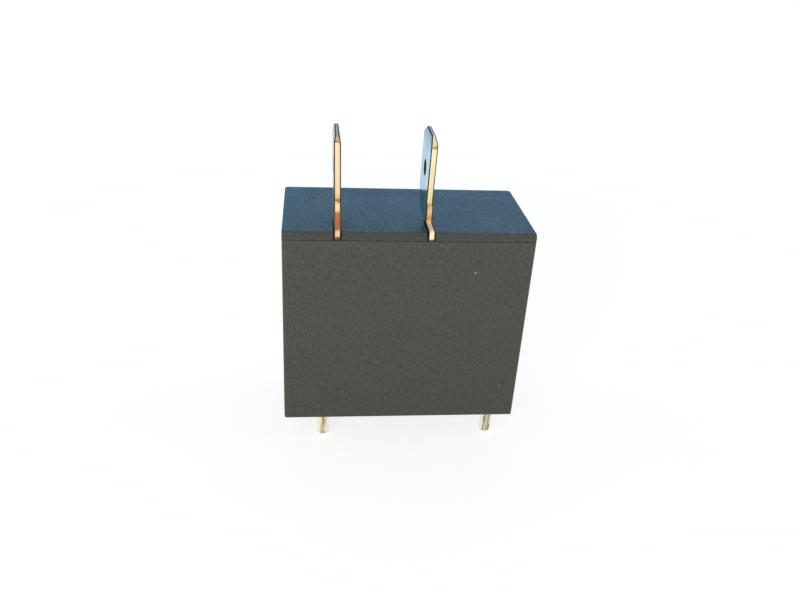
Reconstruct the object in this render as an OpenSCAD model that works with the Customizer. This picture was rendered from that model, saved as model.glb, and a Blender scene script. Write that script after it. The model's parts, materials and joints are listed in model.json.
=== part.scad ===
/* [Body] */
// Width of the housing across the front
body_w = 30.5; // [28:0.1:35]
// Depth of the housing from front to back
body_d = 15.6; // [14:0.1:18]
// Height of the housing without blades and pins
body_h = 26.5; // [23.8:0.1:31]
// Thickness of the case walls
wall = 0.9; // [0.7:0.05:1.1]
// Thickness of the case floor
floor_t = 1; // [0.8:0.05:1.4]
// Radius of the upright corners and bottom edges
corner_r = 0.5; // [0.2:0.05:0.7]
// Height of the header edge above the joint line
lid_t = 0.83; // [0.6:0.01:1.2]
// Chamfer along the front edge of the header
lid_chamfer = 0.75; // [0.3:0.05:0.75]
// Height of the shadow groove around the case at the joint line
joint_h = 0.07; // [0.04:0.01:0.12]
// Depth of that groove
joint_d = 0.3; // [0.15:0.05:0.4]
// Depth of the header plug inside the case
plug_h = 1.37; // [0.8:0.01:1.8]
// Thickness of the walls inside the header
rib_t = 0.9; // [0.7:0.05:1.1]
// Thickness of the insulating floor under the contacts
barrier_t = 1.5; // [1.3:0.1:2]
// Distance of the insulating floor's edge from the pole face
barrier_inset = 1; // [0.6:0.1:1.5]
// Width of the ledges that carry the card
ledge_w = 0.75; // [0.5:0.05:1]
// Width of the stop behind the moving spring
stop_w = 1; // [0.6:0.1:1.5]

/* [Blades] */
// Width of a blade
blade_w = 6.35; // [4.75:0.05:6.5]
// Thickness of the terminal sheet
blade_t = 0.8; // [0.5:0.05:1]
// Height of the blade tips above the header
blade_rise = 11.6; // [10.5:0.1:14]
// Width of the neck where a blade leaves the header
neck_w = 4.5; // [3.5:0.1:4.6]
// Height at which the blade starts to widen
neck_rise = 1.2; // [0.5:0.1:2]
// Height at which the blade has its full width
flare_rise = 2.8; // [2.2:0.1:3.4]
// Height of the corner cut at the tip
tip_cut = 0.8; // [0.4:0.1:1.2]
// Depth of the corner cut at the tip
tip_inset = 1.2; // [0.6:0.1:1.6]
// Thickness left at the bevelled tip
tip_t = 0.45; // [0.3:0.05:0.5]
// Diameter of the detent hole
detent_d = 1.7; // [1.2:0.1:2.2]
// Height of the detent hole above the header
detent_rise = 7.2; // [6:0.1:8]
// Sideways place of the fixed blade
fixed_x = -8.76; // [-9.2:0.02:-8.4]
// Sideways drift of the fixed blade towards its tip
fixed_lean = -0.21; // [-0.5:0.01:0.3]
// Height of the dent in the front edge of the fixed blade
dent_rise = 4.05; // [3.4:0.05:6]
// Radius of the dent
dent_r = 0.5; // [0.3:0.05:0.8]
// Depth of the dent
dent_depth = 0.1; // [0.05:0.01:0.2]
// Sideways place of the common blade at its foot
common_x = 2.35; // [1.9:0.05:3]
// Sideways offset of the common blade above its jog
jog = -0.5; // [-0.8:0.05:0]
// Height where the jog starts
jog_start = 0.35; // [0.2:0.05:0.8]
// Height where the jog ends
jog_end = 1.6; // [1.2:0.1:2.2]
// Small second set-over of the common blade
set_over = -0.1; // [-0.2:0.01:0]
// Height of the second set-over
set_over_rise = 3.6; // [2.8:0.1:5]
// Height over which the second set-over runs
set_over_run = 0.25; // [0.15:0.05:0.6]
// Sideways drift of the common blade towards its tip
common_lean = 0.12; // [-0.2:0.01:0.4]
// Radius of the slight bends along a blade
crease_r = 0.6; // [0.3:0.05:1]
// Outer radius of the bends in the common terminal's loop
bend_r = 1.2; // [1.1:0.05:1.5]
// Length of the loop's end that holds the moving spring
anchor_len = 1.85; // [1.6:0.05:2.2]

/* [Coil] */
// Length of the coil pins below the seat
pin_len = 3.5; // [2.5:0.1:5]
// Width of a coil pin
pin_w = 1.3; // [0.8:0.05:1.5]
// Thickness of a coil pin
pin_t = 0.6; // [0.4:0.05:0.7]
// Radius of the corners at a pin's tip
pin_tip_r = 0.5; // [0.1:0.05:0.6]
// Distance of the coil pins behind the front face
pin_inset = 1.45; // [1.35:0.05:1.8]
// Depth of the sealing wells under the case
well_depth = 0.45; // [0.3:0.05:0.6]
// Width of the sealing resin around a pin
seal_margin = 0.5; // [0.3:0.05:0.6]
// Depth of the resin's surface below the seat
seal_recess = 0.08; // [0.04:0.01:0.15]
// Thickness of the bobbin flanges
flange_t = 2; // [1.8:0.05:2.1]
// Distance of the flanges behind the front face
flange_inset = 2.3; // [2:0.1:2.6]
// Radius of the flange corners
flange_round = 1; // [0.5:0.1:1.5]
// Height of the pin bosses on the flanges
boss_h = 4.2; // [3.6:0.1:4.6]
// Height of the lead post above a boss
post_h = 2.1; // [1.8:0.1:2.4]
// Width of the lead post
post_w = 0.5; // [0.4:0.05:0.7]
// Core radius as a share of the winding's radius, which sets iron against copper
core_share = 0.45; // [0.38:0.01:0.5]
// Wall of the bobbin tube
tube_t = 0.8; // [0.6:0.05:1]
// Step from the core down to its staked end in the yoke
core_step = 0.9; // [0.6:0.05:1.2]
// Step of the winding below the edge of the flanges
winding_inset = 0.6; // [0.4:0.05:1]
// Radius of the pole head
pole_r = 4.2; // [3.2:0.1:4.6]
// Thickness of the pole head
pole_t = 0.9; // [0.6:0.05:1]
// Diameter of the coil lead wire
lead_d = 0.24; // [0.16:0.02:0.3]
// Height of the lead above its boss
lead_rise = 1.2; // [1:0.1:1.4]
// Distance of the lead's run from the flange
lead_slack = 0.4; // [0.3:0.05:0.6]
// Radius of the solder bead on the lead post
bead_r = 0.5; // [0.45:0.05:0.6]
// Height of the solder bead
bead_h = 1.2; // [0.8:0.1:1.4]

/* [Magnet frame] */
// Thickness of the yoke
yoke_t = 1.1; // [0.9:0.05:1.2]
// Width of the yoke
yoke_w = 9.6; // [8:0.1:10]
// Outer radius of the yoke's bend
yoke_bend = 1.1; // [0.8:0.05:1.4]
// Room under the yoke's leg
yoke_foot = 1.2; // [0.6:0.1:2]
// Thickness of the armature
armature_t = 1.2; // [0.9:0.05:1.3]
// Width of the armature
armature_w = 9; // [7:0.1:9.6]
// Room under the armature
armature_foot = 1.9; // [1.2:0.1:2.4]
// Corner cut at the armature's foot
foot_cut = 1.2; // [0.4:0.1:2]
// Width of the armature lever
lever_w = 2.5; // [1.8:0.1:2.8]
// Step of the lever's end below the top of the card
lever_recess = 0.2; // [0.1:0.05:0.4]
// Opening angle of the armature at rest
open_angle = 4; // [3:0.1:4.5]
// Thickness of the hinge spring
leaf_t = 0.2; // [0.12:0.02:0.24]
// Width of the hinge spring
leaf_w = 7.4; // [6.8:0.1:8]
// Length of the hinge spring on the yoke
leaf_len = 4.6; // [4:0.1:5.4]
// Length of the hinge spring's arms
leaf_arm = 1.9; // [1.2:0.1:2.4]
// Lift of the hinge spring over the armature
leaf_lift = 0.12; // [0.08:0.01:0.16]
// Length of the ramp up to that lift
leaf_ramp = 0.6; // [0.4:0.1:0.9]
// Gap between the hinge spring's arms and the closed armature
leaf_gap = 0.4; // [0.3:0.05:0.5]
// Distance of the window's end from the pole face
window_reach = 1.4; // [1:0.1:1.8]
// Gap between the lever and its window
window_gap = 0.5; // [0.3:0.05:0.7]
// Distance of the leaf rivets from the leaf's end
leaf_rivet_inset = 1.1; // [0.9:0.1:1.6]
// Half the distance between the leaf rivets
leaf_rivet_y = 2.9; // [2.4:0.1:3]

/* [Contacts] */
// Distance of the contacts behind the front face
contact_inset = 3.4; // [3:0.05:3.8]
// Radius of the fixed contact
fixed_r = 1.7; // [1.4:0.05:1.9]
// Height of the fixed contact head
fixed_h = 0.7; // [0.5:0.05:0.9]
// Distance of the terminal pad's edge behind the contacts
pad_reach = 2; // [1.8:0.05:2.2]
// Radius of the moving contact
moving_r = 1.6; // [1.3:0.05:1.8]
// Height of the moving contact head
moving_h = 0.75; // [0.5:0.05:0.9]
// Radius of the moving contact's stem
stem_r = 0.58; // [0.4:0.02:0.8]
// Radius of the moving contact's riveted tail
tail_r = 0.95; // [0.9:0.05:1.1]
// Height of the riveted tail
tail_h = 0.3; // [0.2:0.05:0.4]
// Bevel around a contact face
contact_bevel = 0.22; // [0.1:0.02:0.4]
// Thickness of the moving spring
spring_t = 0.25; // [0.15:0.01:0.3]
// Width of the moving spring
spring_w = 4.2; // [3.8:0.1:4.6]
// Height of the moving spring above the insulating floor
spring_lift = 2; // [1.8:0.1:2.2]
// Length of the moving spring past its contact
spring_nose = 1.9; // [1.7:0.05:2.1]
// Corner cut at the moving spring's tip
spring_cut = 0.9; // [0.4:0.1:1.2]
// Radius of a rivet's shank
rivet_r = 0.44; // [0.35:0.01:0.5]
// Radius of a rivet's head
rivet_head_r = 0.75; // [0.65:0.05:0.8]
// Height of a rivet's head
rivet_head_h = 0.3; // [0.2:0.05:0.35]
// Bevel around a rivet's head
rivet_bevel = 0.17; // [0.05:0.01:0.25]
// Thickness of the card
card_t = 1.4; // [1:0.1:1.5]
// Width of the card beside the lever's slot
card_side = 0.9; // [0.75:0.05:1.1]
// Margin of the card around its post and beside the necks
card_margin = 0.4; // [0.3:0.05:0.5]
// Radius of the card's pushing post
post_r = 0.45; // [0.35:0.05:0.55]
// Distance of the post's foot above the spring's lower edge
post_foot = 0.5; // [0.3:0.1:1]

/* [Clearances] */
// Gap around a pressed stem or pin
press_gap = 0.02; // [0.01:0.01:0.04]
// Gap between seated mouldings
fit = 0.05; // [0.03:0.01:0.1]
// Gap around a sliding piece
slide_gap = 0.1; // [0.06:0.01:0.15]
// Play of the lever in the card's slot
lever_play = 0.08; // [0.06:0.01:0.1]
// Gap between a moving piece at rest and its stop
stop_gap = 0.15; // [0.1:0.01:0.2]
// Gap between the magnet or terminals and the case walls
wall_gap = 0.2; // [0.12:0.01:0.25]
// Gap around the common terminal's bridge
bridge_gap = 0.3; // [0.2:0.05:0.4]
// Gap between the moving spring and the card
spring_gap = 0.4; // [0.3:0.05:0.6]
// Gap between the open armature and the case
armature_gap = 0.27; // [0.15:0.01:0.4]
// Air gap left at the pole with the armature closed
residual_gap = 0.05; // [0.02:0.01:0.1]
// Gap left between closed contacts
contact_gap = 0.03; // [0.02:0.01:0.06]

/* [Hidden] */
$fn = 48;
arc_steps = 6;
// Least turn of a blade that is eased, in degrees
crease_least = 3;
pockets = 3;
// Overshoot of cuts past a face
over = 1;

// Housing planes
front = -body_d / 2;
inner_x = body_w / 2 - wall;
inner_y = body_d / 2 - wall;
plug_x = inner_x - fit;
plug_y = inner_y - fit;
back_wall = plug_y - rib_t;
seam_z = body_h - lid_t;
plug_z = seam_z - plug_h;

// Heights from the header down: card, moving spring, insulating floor, yoke, coil
card_top = plug_z - slide_gap;
card_low = card_top - card_t;
spring_top = card_low - spring_gap;
spring_low = spring_top - spring_w;
contact_z = spring_low + spring_w / 2;
chamber_z = spring_low - spring_lift;
yoke_top = chamber_z - barrier_t;
flange_top = yoke_top - yoke_t;
flange_h = flange_top - floor_t;
coil_z = floor_t + flange_h / 2;
boss_top = floor_t + boss_h;
lead_z = boss_top + lead_rise;

// Blade heights
tip_z = body_h + blade_rise;
shoulder_z = tip_z - tip_cut;

// Magnet chain along X, from the open armature at the left wall to the yoke at the right wall
armature_reach = yoke_top - floor_t - armature_foot;
pole_x = -inner_x + armature_gap + armature_reach * sin(open_angle) + armature_t * cos(open_angle);
yoke_right = inner_x - slide_gap;
left_pin_x = pole_x + pole_t + flange_t / 2;
right_pin_x = yoke_right - yoke_t - flange_t / 2;
leaf_right = pole_x + leaf_len;

// Coil from front to back
pin_y = front + pin_inset;
flange_front = front + flange_inset;
flange_back = inner_y - wall_gap;
coil_y = (flange_back + flange_front) / 2;
winding_r = min(flange_h, flange_back - flange_front) / 2 - winding_inset;
core_r = core_share * winding_r;
tube_r = core_r + tube_t;
spigot_r = core_r - core_step;

// Contact set from front to back
sheet_front = -inner_y + wall_gap;
neck_back = front + neck_w;
contact_y = front + contact_inset;
spring_tip = contact_y - spring_nose;
bridge_back = back_wall - bridge_gap;
arm_back = bridge_back - bend_r;
anchor_front = arm_back - anchor_len;

// Contact set along X
fixed_face = fixed_x + blade_t / 2;
spring_x = fixed_face + fixed_h + contact_gap + moving_h;
anchor_x = spring_x + spring_t;

// Card and lever
lever_top = card_top - lever_recess;
push_rise = (card_low + lever_top) / 2 - yoke_top;
card_stroke = push_rise * sin(open_angle);
card_front = neck_back + card_margin;
card_back = card_front + lever_w + 2 * card_side;
lever_y = (card_front + card_back) / 2;
push_y = card_front + card_margin + post_r;
post_x = anchor_x + card_stroke + slide_gap + post_r;
card_left = -inner_x + card_stroke + stop_gap;
card_right = post_x + post_r + card_margin;
// Swing of the moving spring from open to closed
close_angle = asin(card_stroke / (anchor_front - push_y));

function arc(c, r, from, to) =
    [for (i = [0:arc_steps]) let (a = from + (to - from) * i / arc_steps) c + r * [cos(a), sin(a)]];
function rounded(w, d, r) = concat(
    arc([w / 2 - r, d / 2 - r], r, 0, 90),
    arc([r - w / 2, d / 2 - r], r, 90, 180),
    arc([r - w / 2, r - d / 2], r, 180, 270),
    arc([w / 2 - r, r - d / 2], r, 270, 360));
// Upright section with rounded bottom corners
function tub(w, h, r) = concat(
    [[w / 2, h], [-w / 2, h]],
    arc([r - w / 2, r], r, 180, 270),
    arc([w / 2 - r, r], r, 270, 360));
// Bend of a centre line of [x, z, half thickness] at b, eased by a short curve
function crease(a, b, c) = let (
    run = norm([b[0] - a[0], b[1] - a[1]]),
    rise = norm([c[0] - b[0], c[1] - b[1]]),
    u = (b - a) / run,
    v = (c - b) / rise,
    turn = abs(atan2(u[0], u[1]) - atan2(v[0], v[1])),
    cut = min(crease_r * tan(turn / 2), run / 3, rise / 3))
    turn < crease_least ? [b] :
        [for (i = [0:arc_steps]) let (t = i / arc_steps) b + cut * (t * t * v - (1 - t) * (1 - t) * u)];
function eased(line) = [for (i = [0:len(line) - 1])
    each i == 0 || i == len(line) - 1 ? [line[i]] : crease(line[i - 1], line[i], line[i + 1])];
// Sheet seen on edge, from its centre line
function strip(line) = concat(
    [for (p = line) [p[0] - p[2], p[1]]],
    [for (i = [len(line) - 1:-1:0]) [line[i][0] + line[i][2], line[i][1]]]);

module span(x, y, z) {
    translate([x[0], y[0], z[0]])
        cube([x[1] - x[0], y[1] - y[0], z[1] - z[0]]);
}

// Sweep a [y, z] outline along X
module along_x(x0, x1) {
    translate([x0, 0, 0])
        rotate([90, 0, 90])
            linear_extrude(x1 - x0)
                children();
}

// Sweep an [x, z] outline along Y
module along_y(y0, y1) {
    translate([0, y1, 0])
        rotate([90, 0, 0])
            linear_extrude(y1 - y0)
                children();
}

module rod_x(x0, x1, y, z, r) {
    translate([x0, y, z])
        rotate([0, 90, 0])
            cylinder(h = x1 - x0, r = r);
}

// Upright block around a coil pin, wider than the pin by grow on each side
module around_pin(x, grow, z0, z1) {
    span([x - pin_w / 2 - grow, x + pin_w / 2 + grow],
        [pin_y - pin_t / 2 - grow, pin_y + pin_t / 2 + grow], [z0, z1]);
}

module case() {
    color("#4a4d48")
        difference() {
            intersection() {
                linear_extrude(seam_z)
                    polygon(rounded(body_w, body_d, corner_r));
                along_y(-body_d, body_d)
                    polygon(tub(body_w, seam_z, corner_r));
                along_x(-body_w, body_w)
                    polygon(tub(body_d, seam_z, corner_r));
            }
            span([-inner_x, inner_x], [-inner_y, inner_y], [floor_t, body_h]);
            // Shadow groove under the header's edge
            translate([0, 0, seam_z - joint_h])
                linear_extrude(over)
                    difference() {
                        square([body_w + over, body_d + over], center = true);
                        square([body_w - 2 * joint_d, body_d - 2 * joint_d], center = true);
                    }
            for (x = [left_pin_x, right_pin_x]) {
                around_pin(x, slide_gap, -over, floor_t + over);
                around_pin(x, seal_margin, -over, well_depth);
            }
        }
}

module blade_slot(x) {
    span([x - blade_t / 2 - slide_gap, x + blade_t / 2 + slide_gap],
        [front - over, neck_back + slide_gap], [plug_z - over, body_h + over]);
}

// Upright wall from the insulating floor to the plug
module header_wall(x, y) {
    span(x, y, [chamber_z - fit, plug_z + fit]);
}

// Ledge from the insulating floor to the underside of the card
module card_ledge(x, y) {
    span(x, y, [chamber_z - fit, card_low - slide_gap]);
}

module header() {
    common_left = common_x - blade_t / 2;
    common_right = common_x + blade_t / 2 + fit;
    pocket_w = (plug_x - rib_t - common_right) / pockets;
    fixed_left = fixed_x - blade_t / 2 - fit;
    arc_wall_x = (anchor_x + blade_t + common_left - rib_t) / 2;
    rail_x = fixed_face + slide_gap;
    stop_x = anchor_x + (anchor_front - spring_tip) * sin(close_angle) + stop_gap;
    stop_y = spring_tip - slide_gap;
    leaf_room = leaf_t + rivet_head_h + 2 * slide_gap;
    color("#484b47")
        difference() {
            union() {
                intersection() {
                    translate([0, 0, seam_z])
                        linear_extrude(lid_t)
                            polygon(rounded(body_w, body_d, corner_r));
                    along_x(-body_w, body_w)
                        polygon([[front, seam_z], [-front, seam_z], [-front, body_h],
                            [front + lid_chamfer, body_h], [front, body_h - lid_chamfer]]);
                }
                span([-plug_x, plug_x], [-plug_y, plug_y], [plug_z, seam_z + fit]);
                // Insulating floor between the magnet and the contacts
                span([pole_x + barrier_inset, plug_x], [-plug_y, plug_y], [yoke_top, chamber_z]);
                header_wall([fixed_left - rib_t, plug_x], [back_wall, plug_y]);
                for (i = [0:pockets])
                    header_wall([common_right + i * pocket_w, common_right + i * pocket_w + rib_t],
                        [-plug_y, back_wall + fit]);
                // Wall beside the fixed terminal, with the ledge under the card's front edge
                header_wall([fixed_left - rib_t, fixed_left], [-plug_y, card_front - slide_gap]);
                card_ledge([fixed_left - rib_t, fixed_left], [-plug_y, card_front + ledge_w]);
                // Rib from the back wall, with the ledge under the card's back edge
                header_wall([rail_x, rail_x + rib_t], [card_back + slide_gap, back_wall + fit]);
                card_ledge([rail_x, rail_x + rib_t], [card_back - ledge_w, back_wall + fit]);
                // Arc wall with the spring's back stop
                header_wall([arc_wall_x, arc_wall_x + rib_t], [-plug_y, bridge_back - blade_t - bridge_gap]);
                span([stop_x, arc_wall_x + fit], [stop_y, stop_y + stop_w],
                    [contact_z - moving_r, contact_z + moving_r]);
            }
            // Room for the hinge spring under the floor
            span([pole_x, leaf_right + leaf_ramp], [coil_y - yoke_w / 2, coil_y + yoke_w / 2],
                [yoke_top - over, yoke_top + leaf_room]);
            for (x = [fixed_x, common_x])
                blade_slot(x);
        }
}

// Flat outline of a terminal's blade and neck, closed below by the given foot
module blade_blank(foot) {
    polygon(concat(foot,
        [[sheet_front, chamber_z], [sheet_front, seam_z], [front, seam_z], [front, shoulder_z],
        [front + tip_inset, tip_z], [front + blade_w - tip_inset, tip_z], [front + blade_w, shoulder_z],
        [front + blade_w, body_h + flare_rise], [neck_back, body_h + neck_rise], [neck_back, spring_top]]));
}

// The bent sheet of a blade: its outline seen from the side, its bends seen from the front
module bent_blade(x, foot, line) {
    stock = blade_t + abs(jog + set_over);
    difference() {
        intersection() {
            along_x(x - stock, x + stock)
                blade_blank(foot);
            along_y(front - over, -front)
                polygon(strip(eased(line)));
        }
        rod_x(x - stock, x + stock, front + blade_w / 2, body_h + detent_rise, detent_d / 2);
    }
}

module fixed_terminal() {
    pad_back = contact_y + pad_reach;
    half = blade_t / 2;
    color("#d9c089")
        difference() {
            bent_blade(fixed_x, [[pad_back, spring_top], [pad_back, chamber_z]],
                [[fixed_x, chamber_z, half], [fixed_x, body_h, half],
                [fixed_x + fixed_lean * (shoulder_z - body_h) / blade_rise, shoulder_z, half],
                [fixed_x + fixed_lean, tip_z, tip_t / 2]]);
            rod_x(fixed_x - blade_t, fixed_x + blade_t, front - dent_r + dent_depth, body_h + dent_rise,
                dent_r);
            rod_x(fixed_x - blade_t, fixed_x + blade_t, contact_y, contact_z, fixed_r / 2);
        }
}

// Quarter bend of the sheet in plan
module bend(c, from) {
    translate(c)
        rotate(from)
            intersection() {
                difference() {
                    circle(bend_r);
                    circle(bend_r - blade_t);
                }
                square(bend_r + over);
            }
}

module common_terminal() {
    half = blade_t / 2;
    outer_x = common_x + half;
    upper_x = common_x + jog;
    set_x = upper_x + set_over;
    color("#d9c089")
        union() {
            bent_blade(common_x, [[neck_back, chamber_z]],
                [[common_x, chamber_z, half], [common_x, body_h + jog_start, half],
                [upper_x, body_h + jog_end, half], [upper_x, body_h + set_over_rise, half],
                [set_x, body_h + set_over_rise + set_over_run, half],
                [set_x + common_lean, shoulder_z, half],
                [set_x + common_lean, tip_z, tip_t / 2]]);
            // Loop inside: back along the arm, across, and forward to the spring's anchor
            span([common_x - half, outer_x], [neck_back - fit, arm_back], [chamber_z, spring_top]);
            translate([0, 0, spring_low])
                linear_extrude(spring_w) {
                    bend([outer_x - bend_r, arm_back], 0);
                    translate([anchor_x + bend_r, bridge_back - blade_t])
                        square([outer_x - anchor_x - 2 * bend_r, blade_t]);
                    bend([anchor_x + bend_r, arm_back], 90);
                    translate([anchor_x, anchor_front])
                        square([blade_t, anchor_len]);
                }
        }
}

// Piece turned about an axis that points along -X, from its [radius, height] steps
module turned(x, y, z, steps) {
    translate([x, y, z])
        rotate([0, -90, 0])
            rotate_extrude()
                polygon(steps);
}

module fixed_contact() {
    stem = fixed_r / 2 - press_gap;
    color("#c9c9c4")
        turned(fixed_face, contact_y, contact_z,
            [[0, blade_t], [stem, blade_t], [stem, 0], [fixed_r, 0], [fixed_r, contact_bevel - fixed_h],
            [fixed_r - contact_bevel, -fixed_h], [0, -fixed_h]]);
}

// Turn about the spring's bending line, from closed to open
module opened() {
    translate([spring_x + spring_t / 2, anchor_front, 0])
        rotate(close_angle)
            translate([-spring_x - spring_t / 2, -anchor_front, 0])
                children();
}

module moving_contact() {
    tail_z = -spring_t - tail_h;
    color("#c9c9c4")
        opened()
            turned(spring_x, contact_y, contact_z,
                [[0, tail_z], [tail_r, tail_z], [tail_r, -spring_t], [stem_r, -spring_t], [stem_r, 0],
                [moving_r, 0], [moving_r, moving_h - contact_bevel], [moving_r - contact_bevel, moving_h],
                [0, moving_h]]);
}

module spring_rivet_places() {
    for (z = [contact_z - spring_w / 4, contact_z + spring_w / 4])
        translate([0, anchor_front + anchor_len / 2, z])
            children();
}

module moving_spring() {
    color("#c98b5a")
        difference() {
            union() {
                span([spring_x, anchor_x], [anchor_front - press_gap, arm_back], [spring_low, spring_top]);
                opened()
                    along_x(spring_x, anchor_x)
                        polygon([[anchor_front, spring_low], [spring_tip + spring_cut, spring_low],
                            [spring_tip, spring_low + spring_cut], [spring_tip, spring_top - spring_cut],
                            [spring_tip + spring_cut, spring_top], [anchor_front, spring_top]]);
            }
            opened()
                rod_x(spring_x - over, anchor_x + over, contact_y, contact_z, stem_r + press_gap);
            spring_rivet_places()
                rod_x(spring_x - over, anchor_x + over, 0, 0, rivet_r + press_gap);
        }
}

// Rivet whose head lies on a sheet of thickness t
module rivet(t) {
    head_z = t + rivet_head_h;
    rotate_extrude()
        polygon([[0, 0], [rivet_r, 0], [rivet_r, t], [rivet_head_r, t], [rivet_head_r - rivet_bevel, head_z],
            [0, head_z]]);
}

module spring_rivets() {
    color("#b9b7ae")
        spring_rivet_places()
            translate([anchor_x, 0, 0])
                rotate([0, -90, 0])
                    rivet(spring_t);
}

module card() {
    closed_face = pole_x - residual_gap;
    lever_left = closed_face - armature_t * cos(open_angle) + (card_low - yoke_top) * sin(open_angle);
    lever_right = closed_face + (lever_top - yoke_top) * sin(open_angle);
    color("#d8d3c4")
        union() {
            difference() {
                span([card_left, card_right], [card_front, card_back], [card_low, card_top]);
                span([lever_left - lever_play, lever_right + lever_play],
                    [lever_y - lever_w / 2 - slide_gap, lever_y + lever_w / 2 + slide_gap],
                    [card_low - over, card_top + over]);
            }
            translate([post_x, push_y, spring_low + post_foot])
                cylinder(h = card_low + fit - spring_low - post_foot, r = post_r);
        }
}

module armature() {
    shoulder = yoke_top - slide_gap;
    low = yoke_top - armature_reach;
    left = coil_y - armature_w / 2;
    right = coil_y + armature_w / 2;
    lever_front = lever_y - lever_w / 2;
    lever_back = lever_y + lever_w / 2;
    color("#8f9296")
        translate([pole_x - residual_gap, 0, yoke_top])
            rotate([0, open_angle, 0])
                translate([0, 0, -yoke_top])
                    along_x(-armature_t, 0)
                        polygon([[left + foot_cut, low], [right - foot_cut, low], [right, low + foot_cut],
                            [right, shoulder], [lever_back, shoulder], [lever_back, lever_top],
                            [lever_front, lever_top], [lever_front, shoulder], [left, shoulder],
                            [left, low + foot_cut]]);
}

module leaf_rivet_places() {
    for (side = [-1, 1])
        translate([leaf_right - leaf_rivet_inset, coil_y + side * leaf_rivet_y, yoke_top])
            children();
}

module hinge_spring() {
    arm_x = pole_x - residual_gap - armature_t - leaf_gap;
    arm_low = yoke_top - leaf_arm;
    low = yoke_top + leaf_lift;
    color("#b7b2a2")
        difference() {
            along_y(coil_y - leaf_w / 2, coil_y + leaf_w / 2)
                polygon([[leaf_right, yoke_top], [pole_x + leaf_ramp, yoke_top], [pole_x, low], [arm_x, low],
                    [arm_x, arm_low], [arm_x - leaf_t, arm_low], [arm_x - leaf_t, low + leaf_t],
                    [pole_x, low + leaf_t], [pole_x + leaf_ramp, yoke_top + leaf_t],
                    [leaf_right, yoke_top + leaf_t]]);
            // Window for the armature lever
            span([arm_x - over, pole_x + window_reach],
                [lever_y - lever_w / 2 - window_gap, lever_y + lever_w / 2 + window_gap],
                [arm_low - over, yoke_top + over]);
            leaf_rivet_places()
                cylinder(h = 2 * over, r = rivet_r + press_gap, center = true);
        }
}

module hinge_spring_rivets() {
    color("#8f9296")
        leaf_rivet_places()
            rivet(leaf_t);
}

module yoke() {
    leg_low = floor_t + yoke_foot;
    color("#8f9296")
        difference() {
            along_y(coil_y - yoke_w / 2, coil_y + yoke_w / 2)
                polygon(concat([[pole_x, flange_top], [yoke_right - yoke_t, flange_top],
                    [yoke_right - yoke_t, leg_low], [yoke_right, leg_low]],
                    arc([yoke_right - yoke_bend, yoke_top - yoke_bend], yoke_bend, 0, 90),
                    [[pole_x, yoke_top]]));
            rod_x(yoke_right - yoke_t - over, yoke_right + over, coil_y, coil_z, spigot_r + press_gap);
        }
}

module core() {
    color("#8f9296")
        union() {
            rod_x(pole_x, pole_x + pole_t, coil_y, coil_z, pole_r);
            rod_x(pole_x, yoke_right - yoke_t, coil_y, coil_z, core_r);
            rod_x(pole_x, yoke_right, coil_y, coil_z, spigot_r);
        }
}

module flange(x) {
    along_x(x - flange_t / 2, x + flange_t / 2)
        translate([coil_y, coil_z])
            polygon(rounded(flange_back - flange_front, flange_h, flange_round));
    span([x - flange_t / 2, x + flange_t / 2], [stop_gap - inner_y, flange_front + flange_round],
        [floor_t, boss_top]);
}

module bobbin() {
    color("#2f3533")
        difference() {
            union() {
                flange(left_pin_x);
                flange(right_pin_x);
                rod_x(left_pin_x, right_pin_x, coil_y, coil_z, tube_r);
            }
            rod_x(left_pin_x - flange_t, right_pin_x + flange_t, coil_y, coil_z, core_r + fit);
            for (x = [left_pin_x, right_pin_x])
                around_pin(x, press_gap, floor_t - over, boss_top + over);
        }
}

module winding() {
    left = left_pin_x + flange_t / 2 + fit;
    right = right_pin_x - flange_t / 2 - fit;
    color("#b5652e")
        difference() {
            rod_x(left, right, coil_y, coil_z, winding_r);
            rod_x(left - over, right + over, coil_y, coil_z, tube_r + fit);
        }
}

// Flat pin with rounded tip corners and a narrow lead post at its top
module coil_pin(x) {
    side = pin_w / 2;
    post = post_w / 2;
    post_top = boss_top + post_h;
    tip_z = pin_tip_r - pin_len;
    color("#d8c9a0")
        along_y(pin_y - pin_t / 2, pin_y + pin_t / 2)
            translate([x, 0])
                polygon(concat([[side, boss_top], [post, boss_top], [post, post_top], [-post, post_top],
                    [-post, boss_top], [-side, boss_top]],
                    arc([pin_tip_r - side, tip_z], pin_tip_r, 180, 270),
                    arc([side - pin_tip_r, tip_z], pin_tip_r, 270, 360)));
}

// Wire from the solder bead on a pin's post, beside the flange, to the winding
module coil_lead(x, side) {
    run_x = x - side * (flange_t / 2 + lead_slack);
    run_left = min(x, run_x);
    winding_front = coil_y - sqrt(pow(winding_r, 2) - pow(coil_z - lead_z, 2));
    run_back = winding_front - press_gap;
    elbow_d = lead_d + 2 * press_gap;
    post = post_w / 2 + press_gap;
    color("#b5652e")
        difference() {
            union() {
                translate([x, pin_y, lead_z])
                    cylinder(h = bead_h, r = bead_r, center = true);
                rod_x(run_left, run_left + abs(run_x - x), pin_y, lead_z, lead_d / 2);
                translate([run_x, pin_y, lead_z])
                    sphere(d = elbow_d);
                translate([run_x, run_back, lead_z])
                    rotate([90, 0, 0])
                        cylinder(h = run_back - pin_y, r = lead_d / 2);
            }
            span([x - post, x + post], [pin_y - pin_t / 2 - press_gap, pin_y + pin_t / 2 + press_gap],
                [boss_top, boss_top + post_h + over]);
        }
}

module pin_seal(x) {
    color("#2b2b2a")
        difference() {
            around_pin(x, seal_margin - press_gap, seal_recess, well_depth);
            around_pin(x, press_gap, -over, over);
        }
}

module coil_pin_left() { coil_pin(left_pin_x); }
module coil_pin_right() { coil_pin(right_pin_x); }
module coil_lead_left() { coil_lead(left_pin_x, -1); }
module coil_lead_right() { coil_lead(right_pin_x, 1); }
module pin_seal_left() { pin_seal(left_pin_x); }
module pin_seal_right() { pin_seal(right_pin_x); }

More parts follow.
